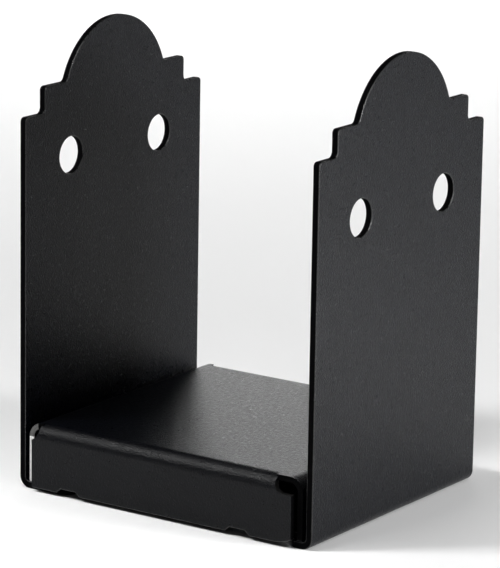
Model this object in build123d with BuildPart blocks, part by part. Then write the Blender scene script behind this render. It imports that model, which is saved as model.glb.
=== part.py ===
"""Decorative post base for a nominal 4x4 timber post.

Two pieces of folded sheet steel: a U-shaped strap whose uprights grip the post, and a
standoff plate that lies loose on the strap's floor and keeps the post's end off the ground.

Frame: +X from the left upright to the right one, +Y to the back, +Z up.
The origin is on the ground at the middle of the base. All sizes are in millimetres.
"""

import os
from math import sqrt

from build123d import *

# ---- The strap -------------------------------------------------------------------------
post_gap = 90.5  # clear width between the two uprights
strap_depth = 79.2  # front edge to back edge of an upright
strap_sheet = 1.9  # thickness of the steel with its coating
strap_bend = 1.2  # inside radius where the floor turns up into an upright

# ---- The stepped and domed head of each upright ------------------------------------------
lower_shoulder = 101.0  # height of the outer pair of shoulders
upper_shoulder = 108.2  # height of the inner pair
shoulder_step = 8.2  # how far the upper step is set in from the edge
overall_height = 123.5  # top of the dome
dome_radius = 23.2
outer_corner = 1.2  # rounding of the corners that stand out
inner_corner = 1.6  # fillet of the corners that turn in

# ---- Holes in the strap ------------------------------------------------------------------
screw_hole = 10.2  # diameter
screw_spacing = 39.8  # front hole to back hole
left_screw_height = 88.1
right_screw_height = 83.6  # lower than the left pair, so that crossing screws miss each other
anchor_hole = 17.5  # diameter, for the bolt that comes up through the floor

# ---- The floor's waist, between the full-depth tabs beside the bends -----------------------
left_tab = 16.8  # from the left upright's outer face to the waist
right_tab = 6.5
left_tab_corner = 4.0  # rounding of the longer tab's ends; the shorter one's are outer_corner
waist_inset = 6.5  # how far the waist lies inside the strap's front and back edges
waist_corner = 2.0  # fillet where the waist meets a tab

# ---- The standoff plate ------------------------------------------------------------------
seat_height = 18.6  # top face above the ground
plate_sheet = 1.5
plate_bend = 2.5  # inside radius of its four bends
bend_margin = 0.05  # its side flanges stand this far inside the strap's own bends
straddle_gap = 0.3  # its front and back flanges hang this far outside the strap's edges
flange_lift = 1.1  # those two flanges stop this far above the ground
corner_gap_x = 0.7  # from a hanging flange's end to the side flange's inner face
corner_gap_y = 0.5  # from a side flange's end to the hanging flange's inner face

# ---- Cuts in the hanging flanges -----------------------------------------------------------
relief_hole = 6.0  # diameter of the round corner reliefs
relief_drop = 1.4  # their middle is this far below the top face
left_relief = 42.8  # from the centre line to the middle of the left relief
right_relief = 39.3
relief_lap = 0.4  # the flat top runs this far past a relief, over the bend's end
notch_depth = 1.2
notch_taper = 1.4  # each side of a notch leans in by this much
notch_mouth = 7.7
left_notch = 29.7  # from the centre line to the middle of the left notch
right_notch = 25.1
eased_length = 5.8  # the right end's lower edge curves up over this length
eased_rise = 1.3

# ---- Sizes worked out from the ones above --------------------------------------------------
half_strap = post_gap / 2 + strap_sheet
half_depth = strap_depth / 2
dome_centre = overall_height - dome_radius
dome_foot = sqrt(dome_radius**2 - (upper_shoulder - dome_centre) ** 2)
step_edge = half_depth - shoulder_step
waist_left = left_tab - half_strap
waist_right = half_strap - right_tab

half_plate = post_gap / 2 - strap_bend - bend_margin
half_straddle = half_depth + straddle_gap + plate_sheet
hanging_end = half_plate - plate_sheet - corner_gap_x
side_end = half_straddle - plate_sheet - corner_gap_y
bend_start = half_straddle - plate_bend - plate_sheet
past = 1.0  # how far a cut runs beyond the surface that it enters or leaves


def folded_sheet(plane, outer_line, sheet, inside_bend):
    """Section of a folded sheet: a line along its outer face, thickened to the inside."""
    with BuildSketch(plane) as section:
        with BuildLine():
            face_line = FilletPolyline(*outer_line, radius=inside_bend + sheet)
            offset(face_line, amount=-sheet, side=Side.LEFT)
        make_face()
    return section.sketch


# ---- U strap: a floor and two uprights, folded from one strip ------------------------------
with BuildPart() as u_strap:
    u_line = [
        (-half_strap, overall_height),
        (-half_strap, 0),
        (half_strap, 0),
        (half_strap, overall_height),
    ]
    extrude(folded_sheet(Plane.XZ, u_line, strap_sheet, strap_bend), half_depth, both=True)

    # Seen from the side, both uprights are trimmed to one outline: two steps and a dome.
    with BuildSketch(Plane.YZ) as outline:
        with BuildLine():
            FilletPolyline(
                (dome_foot, upper_shoulder),
                (step_edge, upper_shoulder),
                (step_edge, lower_shoulder),
                (half_depth, lower_shoulder),
                (half_depth, 0),
                radius=[outer_corner, inner_corner, outer_corner],
            )
            mirror(about=Plane.YZ)
            Line((-half_depth, 0), (half_depth, 0))
            ThreePointArc((-dome_foot, upper_shoulder), (0, overall_height), (dome_foot, upper_shoulder))
        make_face()
        dome_feet = [
            outline.vertices().sort_by_distance((side * dome_foot, upper_shoulder))[0] for side in (-1, 1)
        ]
        fillet(dome_feet, inner_corner)
    extrude(amount=half_strap, both=True, mode=Mode.INTERSECT)

    # Two screw holes through each upright, the left pair higher than the right pair.
    for side, height in ((-1, left_screw_height), (1, right_screw_height)):
        outer_face = Plane(origin=(side * half_strap, 0, height), x_dir=(0, 1, 0), z_dir=(side, 0, 0))
        with Locations(outer_face):
            with GridLocations(screw_spacing, 0, 2, 1):
                Hole(screw_hole / 2, strap_sheet + past)

    # Between its tabs the floor is waisted, and the anchor bolt comes up through its middle.
    with BuildSketch(Plane.XY):
        with Locations(((waist_left + waist_right) / 2, 0)):
            with GridLocations(0, strap_depth, 1, 2):
                RectangleRounded(waist_right - waist_left, 2 * waist_inset, waist_corner)
        Circle(anchor_hole / 2)
    extrude(amount=strap_sheet + past, mode=Mode.SUBTRACT)
    for tab_end, rounding in ((waist_left, left_tab_corner), (waist_right, outer_corner)):
        tab_points = [(tab_end, side * half_depth, strap_sheet / 2) for side in (-1, 1)]
        fillet([u_strap.edges().sort_by_distance(point)[0] for point in tab_points], rounding)

u_strap.part.label = "u_strap"


# ---- Standoff, first half: the top plate with the two side flanges that stand on the floor ---
with BuildPart() as side_fold:
    side_line = [
        (half_plate, strap_sheet),
        (half_plate, seat_height),
        (-half_plate, seat_height),
        (-half_plate, strap_sheet),
    ]
    extrude(folded_sheet(Plane.XZ, side_line, plate_sheet, plate_bend), side_end, both=True)

    # Where the front and back bends fall away, the flat of the plate stops short.
    bend_left = relief_hole / 2 + relief_lap - left_relief
    bend_right = right_relief - relief_hole / 2 - relief_lap
    with BuildSketch(Plane.XY.offset(seat_height)):
        with Locations(((bend_left + bend_right) / 2, 0)):
            with GridLocations(0, 2 * side_end, 1, 2):
                Rectangle(bend_right - bend_left, 2 * (side_end - bend_start))
    extrude(amount=-plate_sheet - past, mode=Mode.SUBTRACT)


# ---- Standoff, second half: the front and back bends with the flanges that hang from them ----
with BuildPart() as hanging_fold:
    hanging_line = [
        (half_straddle, flange_lift),
        (half_straddle, seat_height),
        (-half_straddle, seat_height),
        (-half_straddle, flange_lift),
    ]
    extrude(folded_sheet(Plane.YZ, hanging_line, plate_sheet, plate_bend), hanging_end, both=True)
    with BuildSketch(Plane.XY.offset(seat_height)):
        Rectangle(2 * (hanging_end + past), 2 * bend_start)
    extrude(amount=-plate_sheet - past, mode=Mode.SUBTRACT)

    # Cuts seen from the front, each made right through to the back flange.
    with BuildSketch(Plane.XZ) as flange_cuts:
        # A round relief at each end of the bend, open towards the corner.
        for side, middle in ((-1, left_relief), (1, right_relief)):
            with Locations((side * middle, seat_height - relief_drop)):
                Circle(relief_hole / 2)
            reach = relief_hole / 2 + past
            with Locations((side * (middle + reach / 2), seat_height - relief_drop)):
                Rectangle(reach, relief_hole)
        # Two shallow notches in the lower edge.
        for middle in (-left_notch, right_notch):
            with BuildLine():
                Polyline(
                    (middle - notch_mouth / 2, flange_lift),
                    (middle - notch_mouth / 2 + notch_taper, flange_lift + notch_depth),
                    (middle + notch_mouth / 2 - notch_taper, flange_lift + notch_depth),
                    (middle + notch_mouth / 2, flange_lift),
                    close=True,
                )
            make_face()
        # The right end's lower corner is eased by a shallow arc.
        with BuildLine():
            arc_start = (hanging_end - eased_length, flange_lift)
            arc_end = (hanging_end, flange_lift + eased_rise)
            TangentArc(arc_start, arc_end, tangent=(1, 0))
            Polyline(arc_end, (hanging_end, flange_lift), arc_start)
        make_face()
    extrude(amount=half_straddle + past, both=True, mode=Mode.SUBTRACT)


# ---- Standoff: the two halves are one sheet ------------------------------------------------
with BuildPart() as standoff:
    add(side_fold.part)
    add(hanging_fold.part)

standoff.part.label = "standoff"

os.makedirs("parts", exist_ok=True)
for piece in (u_strap, standoff):
    export_step(piece.part, f"parts/{piece.part.label}.step")
    print(piece.part.label, "volume", round(piece.part.volume, 1), "mm3")
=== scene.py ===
# %% [markdown]
# # A folded post base, dressed in powder coat
# The object is a steel foot for a timber post: a strap folded into a U, and a loose standoff
# plate folded from a thinner sheet. Its shape, all but the soft rims that the coat gives it,
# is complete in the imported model. This notebook loads that model as a fixed frame and works
# on what the eye meets next: the finish, the light and the camera.

# %% Load the fixed frame
import math

import bmesh
import bpy
import numpy as np
from mathutils import Matrix, Vector
from mathutils.bvhtree import BVHTree


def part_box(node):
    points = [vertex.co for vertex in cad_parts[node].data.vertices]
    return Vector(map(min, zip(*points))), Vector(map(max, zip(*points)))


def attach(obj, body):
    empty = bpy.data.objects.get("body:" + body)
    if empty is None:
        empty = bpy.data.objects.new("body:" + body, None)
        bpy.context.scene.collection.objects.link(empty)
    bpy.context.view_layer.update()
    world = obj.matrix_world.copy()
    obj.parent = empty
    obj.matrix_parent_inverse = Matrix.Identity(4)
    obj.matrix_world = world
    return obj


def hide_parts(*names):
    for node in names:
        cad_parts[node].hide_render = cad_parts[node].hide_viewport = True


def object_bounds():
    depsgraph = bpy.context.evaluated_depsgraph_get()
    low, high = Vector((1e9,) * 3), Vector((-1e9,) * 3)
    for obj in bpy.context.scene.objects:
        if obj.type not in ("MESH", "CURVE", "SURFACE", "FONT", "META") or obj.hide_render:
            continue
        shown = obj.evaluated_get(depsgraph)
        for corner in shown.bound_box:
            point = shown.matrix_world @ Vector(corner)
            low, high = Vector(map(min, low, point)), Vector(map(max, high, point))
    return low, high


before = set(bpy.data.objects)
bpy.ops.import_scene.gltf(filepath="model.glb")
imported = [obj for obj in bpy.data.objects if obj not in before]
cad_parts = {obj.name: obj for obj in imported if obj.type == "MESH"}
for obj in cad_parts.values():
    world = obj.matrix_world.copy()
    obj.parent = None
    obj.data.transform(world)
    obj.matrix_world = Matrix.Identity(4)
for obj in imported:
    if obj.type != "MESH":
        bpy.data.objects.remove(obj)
cad_box = [list(map(float, corner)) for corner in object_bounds()]
strap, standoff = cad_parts["u_strap"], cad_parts["standoff"]
low, high = Vector(cad_box[0]), Vector(cad_box[1])
print("object in mm:", [round(1000 * side, 1) for side in high - low])

# %% [markdown]
# ## The camera
# A product picture of a small part is taken from far off with a long lens, so its upright
# edges stay nearly parallel. A camera could be turned by hand with three angles, but it is
# easier to say what a photographer would say: a point to look at, a direction to stand in,
# a distance, and a slight roll of the tripod. The turn is then worked out from those.

# %% Camera from azimuth, elevation, roll and distance
CAMERA_AZIMUTH, CAMERA_ELEVATION, CAMERA_ROLL = map(math.radians, (34.4, 13.6, 0.93))
CAMERA_DISTANCE = 0.9451
LOOK_AT = Vector((-0.0003, 0.0, 0.0555))


def orbit_camera(azimuth, elevation, roll, distance, target, lens):
    """A camera on a sphere round target: azimuth 0 looks along +Y, elevation lifts it.

    The direction away from the target is (sin a cos e, -cos a cos e, sin e). A level right
    and an up square to it are turned by the roll, and the three are the camera's axes.
    """
    away = Vector(
        (
            math.sin(azimuth) * math.cos(elevation),
            -math.cos(azimuth) * math.cos(elevation),
            math.sin(elevation),
        )
    )
    level_right = Vector((math.cos(azimuth), math.sin(azimuth), 0.0))
    level_up = away.cross(level_right)
    right = level_right * math.cos(roll) + level_up * math.sin(roll)
    up = level_up * math.cos(roll) - level_right * math.sin(roll)
    turn = Matrix((right, up, away)).transposed()
    data = bpy.data.cameras.new("product_camera")
    data.lens, data.sensor_width, data.sensor_fit = lens, 36.0, "AUTO"
    data.clip_start, data.clip_end = 0.05, 20.0
    camera = bpy.data.objects.new("product_camera", data)
    camera.matrix_world = Matrix.Translation(target + away * distance) @ turn.to_4x4()
    bpy.context.scene.collection.objects.link(camera)
    bpy.context.scene.camera = camera
    return camera


orbit_camera(CAMERA_AZIMUTH, CAMERA_ELEVATION, CAMERA_ROLL, CAMERA_DISTANCE, LOOK_AT, lens=224.1)
print("camera stands", round(CAMERA_DISTANCE, 3), "m from the part")

# %% [markdown]
# ## A copy of each sheet as one skin
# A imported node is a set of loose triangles: each has its own three corners, so no tool can
# tell which triangles share an edge. The visible sheet is therefore a copy of its solid with
# the doubled corners merged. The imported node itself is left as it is.

# %% Join a node's triangles into one skin
MERGE_WITHIN = 2e-6  # corners closer than this, in metres, are one corner


def joined_skin(node):
    """The node's own skin, as triangles with their doubled points merged."""
    skin = bmesh.new()
    skin.from_mesh(node.data)
    bmesh.ops.remove_doubles(skin, verts=skin.verts, dist=MERGE_WITHIN)
    skin.normal_update()
    return skin


# %% [markdown]
# ## Telling a cut edge from a face
# A folded sheet has two kinds of surface. Its faces carry an even satin coat. Its cut edges
# hold the powder thinly and dull, and some are bare or rubbed. They could be picked by hand,
# but a small test finds them all: a ray sent from a triangle straight into the steel comes out
# again after the sheet's thickness, while from a cut edge it travels much farther.

# %% Find the cut edges by how deep the steel is behind each triangle
FINISHES = range(5)
FACE, CUT_EDGE, BARE_EDGE, RIM, RUBBED_EDGE = FINISHES  # places in a sheet's list of materials
JUST_INSIDE = 1e-5  # where a ray starts under its triangle, in metres
DEEP = 1.5  # steel deeper than this many thicknesses is behind a cut edge


def mark_cut_edges(skin, sheet, edge_finish):
    """Gives each triangle on a cut edge the material edge_finish(centre, normal) names."""
    tree = BVHTree.FromBMesh(skin)
    area = [0.0] * len(FINISHES)
    for face in skin.faces:
        inward, centre = -face.normal, face.calc_center_median()
        depth = tree.ray_cast(centre + inward * JUST_INSIDE, inward)[3]
        if depth is not None and depth > DEEP * sheet:
            face.material_index = edge_finish(centre, face.normal)
        area[face.material_index] += face.calc_area()
    print("face, cut, bare, rim and rubbed areas in mm2:", [round(1e6 * part) for part in area])


# %% [markdown]
# ## Rounded rims
# Powder flows as it bakes, draws back from a sharp rim and leaves it round, and that round is
# what draws a thin light line along the edge of a black sheet. A Bevel modifier could make it,
# but it gives all its new faces one material. Here the bevel is a mesh operation, so a strip
# of new faces beside bare steel can be bare too. It only takes the corner off, so nothing
# grows. Where a rim is too tight for a round, it stays square and is marked as a crease.

# %% Take the corner off the sharp rims
SHARP_TURN = math.radians(28)  # a fold's facets turn less than this, a rim turns more
CREASE = math.radians(50)  # an edge that turns more than this is shaded as a hard one


def round_rims(skin, width, highest):
    """Rounds every sharp rim that lies no higher than highest, in three narrow strips."""
    sharp = [
        edge
        for edge in skin.edges
        if edge.is_manifold
        and edge.calc_face_angle() > SHARP_TURN
        and max(corner.co.z for corner in edge.verts) <= highest
    ]
    rounds = bmesh.ops.bevel(
        skin, geom=sharp, offset=width, offset_type="OFFSET", segments=3, profile=0.5,
        affect="EDGES", clamp_overlap=False, material=RIM,
    )["faces"]
    worn = [
        face
        for face in rounds
        if any(other.material_index == BARE_EDGE for edge in face.edges for other in edge.link_faces)
    ]
    for face in worn:
        face.material_index = BARE_EDGE
    print("rims rounded:", len(sharp), "edges,", len(rounds), "faces")
    for edge in skin.edges:
        edge.smooth = edge.is_manifold and edge.calc_face_angle() < CREASE


# %% [markdown]
# ## From a skin to a dressed sheet
# The steps come in this order because each needs the one before. The cut edges are found on
# triangles, where each centre is well inside its own face. Then flat triangles are joined, so
# that a bevel meets long clean edges. Last, a Weighted Normal modifier lets each large face
# decide how the narrow strips beside it are shaded, so flat steel looks flat.

# %% Put the steps together
FLAT_TURN = math.radians(0.3)  # triangles that turn less than this are one flat face


def dressed_sheet(node, name, sheet, rim, highest, edge_finish):
    """The node's skin with rounded rims, its cut edges marked by edge_finish."""
    skin = joined_skin(node)
    mark_cut_edges(skin, sheet, edge_finish)
    bmesh.ops.dissolve_limit(
        skin, angle_limit=FLAT_TURN, verts=skin.verts, edges=skin.edges, delimit={"MATERIAL"}
    )
    round_rims(skin, rim, highest)
    mesh = bpy.data.meshes.new(name)
    skin.to_mesh(mesh)
    skin.free()
    mesh.polygons.foreach_set("use_smooth", np.ones(len(mesh.polygons), bool))
    piece = bpy.data.objects.new(name, mesh)
    bpy.context.scene.collection.objects.link(piece)
    weighted = piece.modifiers.new("even_normals", "WEIGHTED_NORMAL")
    weighted.mode, weighted.weight, weighted.keep_sharp = "FACE_AREA", 100, True
    print(name, "faces", len(mesh.polygons))
    return piece


# %% [markdown]
# ## The strap
# The strap was cut and folded before it was coated, so all its edges wear powder and all its
# rims are rounded, from the floor to the tops of the domes.

# %% Dress the strap
STRAP_SHEET, STRAP_RIM = 0.0019, 0.0002  # thickness and width of its rounded rim, in metres


def strap_edge(centre, normal):
    """Every cut edge of the strap is coated."""
    return CUT_EDGE


strap_skin = dressed_sheet(strap, "strap_sheet", STRAP_SHEET, STRAP_RIM, high.z, strap_edge)

# %% [markdown]
# ## The standoff
# The upright ends of the plate's left side flange show bright steel, and the round reliefs at
# its front corners are rubbed to a dull grey, as where a coated plate has knocked about in a
# box. Each place is found by its distance from the plate's own sides, so the rule moves with
# the plate. The reliefs run out into a fold, where there is no room for a round, so only the
# rims below them are rounded.

# %% Dress the standoff
PLATE_SHEET, PLATE_RIM = 0.0015, 0.00025  # thickness and width of its rounded rim, in metres
ROUNDED_BELOW = 0.0055  # its rims are rounded from this far below the top, under the reliefs
END_WIDTH = 0.0030  # a side flange's upright end lies this near the plate's side
END_DEPTH = 0.0044  # and this near its front or back
RUBBED_ABOVE = 0.0042  # that end is rubbed down to this far below the top, and bare under it
RELIEF_WIDTH, RELIEF_DEPTH, RELIEF_DROP = 0.0090, 0.0020, 0.0080  # reach of a corner relief

plate_low, plate_high = map(Vector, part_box("standoff"))


def standoff_edge(centre, normal):
    """Bare on the left side flange's upright ends, rubbed round the front corner reliefs."""
    below_top = plate_high.z - centre.z
    near_end = abs(centre.y) > plate_high.y - END_DEPTH
    if centre.x < plate_low.x + END_WIDTH and near_end:
        return BARE_EDGE if below_top > RUBBED_ABOVE else RUBBED_EDGE
    at_front = centre.y < plate_low.y + RELIEF_DEPTH
    at_corner = abs(centre.x) > plate_high.x - RELIEF_WIDTH and below_top < RELIEF_DROP
    faces_sideways = abs(normal.y) < 0.5
    return RUBBED_EDGE if at_front and at_corner and faces_sideways else CUT_EDGE


plate_skin = dressed_sheet(
    standoff, "standoff_sheet", PLATE_SHEET, PLATE_RIM, plate_high.z - ROUNDED_BELOW, standoff_edge
)

# %% [markdown]
# ## Tying the sheets to the frame
# Nothing on a post base moves, so both sheets ride on the one body. Each stands for its packed
# node, which stays in the model unseen.

# %% Ride and replace
for piece, node, slot in (
    (strap_skin, "u_strap", "strap_coat"),
    (plate_skin, "standoff", "standoff_coat"),
):
    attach(piece, "root")
    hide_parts(node)
    print(piece.name, "stands for", node)

# %% [markdown]
# ## Nodes for a finish
# A finish is built from a few kinds of node, so each kind gets a helper that places it,
# sets it and links it. All patterns read Object coordinates, so they have a true size in
# metres and stay put on the steel.

# %% Small helpers for node materials
SOURCE_X, NOISE_X, RANGE_X, LAST_X = -1100, -900, -700, -400  # columns in the node editor
COLOUR_Y, GLOSS_Y, RELIEF_Y = 250, -50, -350  # one row for each thing that varies


def add_node(tree, kind, x, y, **settings):
    node = tree.nodes.new(kind)
    node.location = (x, y)
    for key, value in settings.items():
        setattr(node, key, value)
    return node


def noise(tree, source, y, grain, detail, roughness):
    """A noise texture; grain is the size of one feature in metres."""
    node = add_node(tree, "ShaderNodeTexNoise", NOISE_X, y)
    node.inputs["Scale"].default_value = 1.0 / grain
    node.inputs["Detail"].default_value = detail
    node.inputs["Roughness"].default_value = roughness
    tree.links.new(source, node.inputs["Vector"])
    return node.outputs["Fac"]


def spread(tree, source, y, low, high):
    """Stretches the middle of a noise, 0.3 to 0.7, to the range low to high."""
    node = add_node(tree, "ShaderNodeMapRange", RANGE_X, y)
    node.inputs["From Min"].default_value, node.inputs["From Max"].default_value = 0.3, 0.7
    node.inputs["To Min"].default_value, node.inputs["To Max"].default_value = low, high
    tree.links.new(source, node.inputs["Value"])
    return node.outputs["Result"]


def tinted(tree, base, tint):
    """A base colour multiplied by a grey tint."""
    node = add_node(tree, "ShaderNodeMix", LAST_X, COLOUR_Y, data_type="RGBA", blend_type="MULTIPLY")
    node.inputs["Factor"].default_value = 1.0
    node.inputs["A"].default_value = (*base, 1.0)
    tree.links.new(tint, node.inputs["B"])
    return node.outputs["Result"]


def relief(tree, height, strength):
    """A bump from a height that stands for a tenth of a millimetre, made softer or stronger."""
    node = add_node(tree, "ShaderNodeBump", LAST_X, RELIEF_Y)
    node.inputs["Strength"].default_value = strength
    node.inputs["Distance"].default_value = 0.0001
    tree.links.new(height, node.inputs["Height"])
    return node.outputs["Normal"]


def new_material(name):
    """A material, its node tree, its shader and the Object coordinates in it."""
    material = bpy.data.materials.new(name)
    material.use_nodes = True
    tree = material.node_tree
    where = add_node(tree, "ShaderNodeTexCoord", SOURCE_X, 0).outputs["Object"]
    return material, tree, tree.nodes["Principled BSDF"], where


# %% [markdown]
# ## Black powder coat
# The finish is sprayed on as dry powder and baked, so it is a thin plastic skin over steel:
# very dark, satin rather than glossy, with a fine pebbled skin and a faint mottle where the
# powder lay thicker. One flat colour would look like paper, so colour, roughness and relief
# each get their own noise.
#
# How much light such a skin mirrors is set by its IOR. A whole sheet mirrors a pale floor, so
# a low value keeps it black there. A cut edge is dull and mirrors least of all. A rim is the
# smoothest part of the coat, and the common value for plastic gives it its light line.

# %% The powder coat
FACE_IOR, EDGE_IOR, RIM_IOR = 1.25, 1.05, 1.5
STRAP_BLACK, PLATE_BLACK = (0.0014, 0.0018, 0.0030), (0.0013, 0.0016, 0.0026)
EDGE_BLACK = (0.0020, 0.0020, 0.0022)
GLOSS_SWING = 0.06  # the roughness goes this far either way


def powder_coat(name, base, roughness, pebble, ior):
    """Dark satin plastic; pebble is how strongly the fine relief tilts the surface."""
    material, tree, shader, where = new_material(name)
    shader.inputs["IOR"].default_value = ior
    mottle = spread(tree, noise(tree, where, COLOUR_Y, 0.004, 3.0, 0.6), COLOUR_Y, 0.8, 1.2)
    tree.links.new(tinted(tree, base, mottle), shader.inputs["Base Color"])
    patches = noise(tree, where, GLOSS_Y, 0.0011, 2.0, 0.5)
    gloss = spread(tree, patches, GLOSS_Y, roughness - GLOSS_SWING, roughness + GLOSS_SWING)
    tree.links.new(gloss, shader.inputs["Roughness"])
    skin = noise(tree, where, RELIEF_Y, 0.0004, 2.0, 0.5)
    tree.links.new(relief(tree, skin, pebble), shader.inputs["Normal"])
    print(name, "roughness about", roughness)
    return material


strap_coat = powder_coat("strap_powder_coat", STRAP_BLACK, 0.30, 1.5, FACE_IOR)
plate_coat = powder_coat("plate_powder_coat", PLATE_BLACK, 0.33, 1.7, FACE_IOR)
edge_coat = powder_coat("edge_powder_coat", EDGE_BLACK, 0.60, 0.4, EDGE_IOR)
rim_coat = powder_coat("rim_powder_coat", EDGE_BLACK, 0.30, 0.2, RIM_IOR)

# %% [markdown]
# ## Sheared steel
# A shear leaves a cut edge with a burnished band and a torn one. At this size the bands melt
# into one bright, rough strip, so it is made as a metal with an uneven colour and a fine torn
# relief. Where powder still clings to it the steel is the same, only much darker.

# %% The bare and the rubbed edge
def sheared_steel(name, shine):
    """A rough metal; shine is how much light it sends back, from 0 to 1."""
    material, tree, shader, where = new_material(name)
    shader.inputs["Metallic"].default_value = 1.0
    wear = spread(tree, noise(tree, where, COLOUR_Y, 0.002, 3.0, 0.6), COLOUR_Y, 0.75, 1.1)
    steel = tinted(tree, (shine, shine, 0.98 * shine), wear)
    tree.links.new(steel, shader.inputs["Base Color"])
    patches = noise(tree, where, GLOSS_Y, 0.0012, 2.0, 0.5)
    tree.links.new(spread(tree, patches, GLOSS_Y, 0.34, 0.5), shader.inputs["Roughness"])
    torn = noise(tree, where, RELIEF_Y, 0.0003, 2.0, 0.5)
    tree.links.new(relief(tree, torn, 0.4), shader.inputs["Normal"])
    print(name, "shine", shine)
    return material


cut_steel = sheared_steel("sheared_steel", 0.62)
rubbed_steel = sheared_steel("rubbed_steel", 0.11)

# %% [markdown]
# ## Wearing the finishes
# A face keeps only a number, its place in the sheet's list of materials, so each list is
# filled in the order of the numbers that the faces were given: face, cut edge, bare edge,
# rim, rubbed edge.

# %% Put the materials on the sheets
for piece, face_coat in ((strap_skin, strap_coat), (plate_skin, plate_coat)):
    materials = [face_coat, edge_coat, cut_steel, rim_coat, rubbed_steel]
    for material in materials:
        piece.data.materials.append(material)
    print(piece.name, "wears", [material.name for material in materials])

# %% [markdown]
# ## The sweep
# The part stands on a pale seamless sweep, a sheet of paper that lies flat and then curves up
# behind it, so there is no line where floor meets wall. It could be bent from a plane with a
# modifier. Worked out from its profile it has exactly the bend that is asked for.

# %% A pale sweep that rises behind the part
def sweep(width, front, back, rise, bend, steps=24):
    """A profile of straight, quarter circle, straight, drawn out to width along X.

    Along the quarter circle t goes from 0 to 90 degrees, y is back + bend sin t, and z is
    bend (1 - cos t).
    """
    turn = np.linspace(0.0, math.pi / 2, steps)
    y = np.concatenate(([-front], back + bend * np.sin(turn), [back + bend]))
    z = np.concatenate(([0.0], bend * (1.0 - np.cos(turn)), [rise]))
    x = np.array([-width / 2, width / 2])
    across = np.repeat(x[None, :], len(y), 0)
    along, up = np.repeat(y[:, None], 2, 1), np.repeat(z[:, None], 2, 1)
    points = np.stack([across, along, up], -1).reshape(-1, 3)
    row = np.arange(len(y) - 1)[:, None] * 2
    faces = row + np.array([0, 1, 3, 2])
    mesh = bpy.data.meshes.new("pale_sweep")
    mesh.from_pydata(points.tolist(), [], faces.tolist())
    mesh.polygons.foreach_set("use_smooth", np.ones(len(faces), bool))
    print("sweep of", len(faces), "strips")
    return mesh


floor = bpy.data.objects.new("pale_sweep", sweep(width=2.4, front=1.1, back=1.05, rise=0.55, bend=0.3))
bpy.context.scene.collection.objects.link(floor)
floor.rotation_euler = (0.0, 0.0, CAMERA_AZIMUTH)
floor.location = (0.0, 0.0, low.z)

# %% [markdown]
# ## White paper
# Matt paper sends light back evenly and has no grain at this distance, so it is the one
# material here with plain values.

# %% The paper
PAPER_WHITE, PAPER_ROUGHNESS = 0.9, 0.9
paper, _, paper_shader, _ = new_material("white_paper")
paper_shader.inputs["Base Color"].default_value = (PAPER_WHITE, PAPER_WHITE, PAPER_WHITE, 1.0)
paper_shader.inputs["Roughness"].default_value = PAPER_ROUGHNESS
floor.data.materials.append(paper)
print("floor is staged, top at", round(1000 * low.z, 3), "mm")

# %% [markdown]
# ## Light
# A dark satin surface shows its surroundings more than its own colour, so the light is planned
# as what each surface mirrors. The uprights' right sides mirror the floor behind and to the
# right, and the hanging front flange mirrors the floor in front. The plate's top, seen at a
# low angle, mirrors the low wall behind it. The plate's rolled front bend sweeps through many
# directions and catches the key as one long line. A grid over a soft box narrows its beam, so
# that each pool of light stays where it is wanted.

# %% A soft box
def soft_box(name, position, target, side, watts, beam=180):
    """A square lamp that faces target; beam is the angle of its grid in degrees."""
    data = bpy.data.lights.new(name, "AREA")
    data.shape, data.size, data.size_y, data.energy = "RECTANGLE", side, side, watts
    data.spread = math.radians(beam)
    light = bpy.data.objects.new(name, data)
    light.location = position
    light.rotation_euler = (Vector(target) - Vector(position)).to_track_quat("-Z", "Y").to_euler()
    bpy.context.scene.collection.objects.link(light)
    print(name, watts, "W")
    return light


# %% The key, the pool in front and the low strip that grazes the uprights
middle = (low + high) / 2
soft_box("front_left_key", (-0.74, -0.68, 1.12), middle, 0.25, 12.5)
soft_box("front_floor_pool", (-0.08, -0.22, 0.5), (-0.08, -0.22, 0.0), 0.2, 0.36, beam=60)
soft_box("right_edge_strip", (0.969, 0.206, 0.19), middle, 0.3, 15.0)

# %% The pools and washes on the floor and the low wall
soft_box("right_floor_pool", (0.21, 0.08, 0.45), (0.21, 0.08, 0.0), 0.1, 0.16, beam=28)
soft_box("right_floor_wash", (0.7, -0.3, 0.8), (0.45, 0.0, 0.0), 0.4, 0.6, beam=70)
soft_box("low_wall_wash", (-0.35, 0.45, 0.75), (-0.72, 1.1, 0.2), 0.5, 3.5, beam=70)
soft_box("floor_behind_wash", (-0.45, 0.65, 0.9), (-0.45, 0.65, 0.0), 0.5, 1.3, beam=80)

# %% [markdown]
# ## The room
# A studio is never quite black. A faint even light from all round stands for its walls and
# keeps the deepest shadows from closing up. The plain Standard view shows the tones as they
# are, with no film curve over them.

# %% A dim room and plain tones
ROOM_LIGHT = 0.07
world = bpy.data.worlds.new("dim_room")
bpy.context.scene.world = world
world.use_nodes = True
world.node_tree.nodes["Background"].inputs["Color"].default_value = (1.0, 1.0, 1.0, 1.0)
world.node_tree.nodes["Background"].inputs["Strength"].default_value = ROOM_LIGHT
bpy.context.scene.view_settings.view_transform = "Standard"
print("room light", ROOM_LIGHT)
